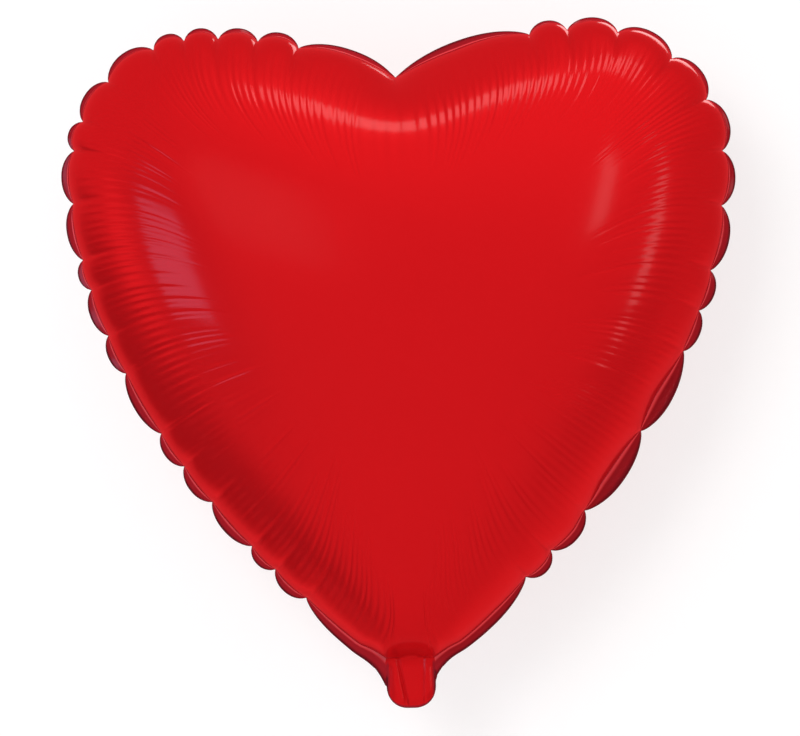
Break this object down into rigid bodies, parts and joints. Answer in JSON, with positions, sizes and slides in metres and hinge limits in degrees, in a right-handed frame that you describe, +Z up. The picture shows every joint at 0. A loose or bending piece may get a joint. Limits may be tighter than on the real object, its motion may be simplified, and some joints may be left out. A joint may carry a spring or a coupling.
{
  "type": "heart-shaped foil balloon",
  "caption": "Inflated heart-shaped foil balloon: two domed film panels sealed round a scalloped margin, with a folding filling tail and a flat self-closing valve.",
  "frame": {"origin": "middle of the throat, where a ribbon is tied and the tail folds", "axes": "+Z up through the notch, -Y out of the front panel, +X to the right seen from the front"},
  "size_m": [0.3848, 0.16, 0.3908],
  "materials": {
    "red_film": "red metallised film, satin mirror sheen",
    "seal_layer": "melted sealing layer, dark red",
    "clear_film": "clear thin film",
    "coat_print": "grey heat-resistant print"
  },
  "bodies": {
    "envelope": {"front_panel": "red_film", "back_panel": "red_film", "perimeter_seal": "seal_layer", "valve_throat_front_ply": "clear_film", "valve_throat_back_ply": "clear_film"},
    "tail": {"tail_front_ply": "red_film", "tail_back_ply": "red_film", "tail_seal_left": "seal_layer", "tail_seal_right": "seal_layer", "valve_inlet_front_ply": "clear_film", "valve_inlet_back_ply": "clear_film", "inlet_release_coat": "coat_print"},
    "front_lip": {"valve_front_lip": "clear_film"},
    "back_lip": {"valve_back_lip": "clear_film"}
  },
  "joints": [
    {"name": "tail_fold", "type": "hinge", "parent": "envelope", "child": "tail", "pos_m": [0, 0, 0], "axis": [1, 0, 0], "range_deg": [-105, 105]},
    {"name": "front_lip_open", "type": "hinge", "parent": "envelope", "child": "front_lip", "pos_m": [0, 0, 0.0045], "axis": [1, 0, 0], "range_deg": [0, 4], "stiffness_Nm_per_rad": 0.003},
    {"name": "back_lip_open", "type": "hinge", "parent": "envelope", "child": "back_lip", "pos_m": [0, 0, 0.0045], "axis": [1, 0, 0], "range_deg": [-4, 0], "stiffness_Nm_per_rad": 0.003}
  ],
  "couplings": [
    {"joint": "back_lip_open", "follows": "front_lip_open", "ratio": -1}
  ]
}
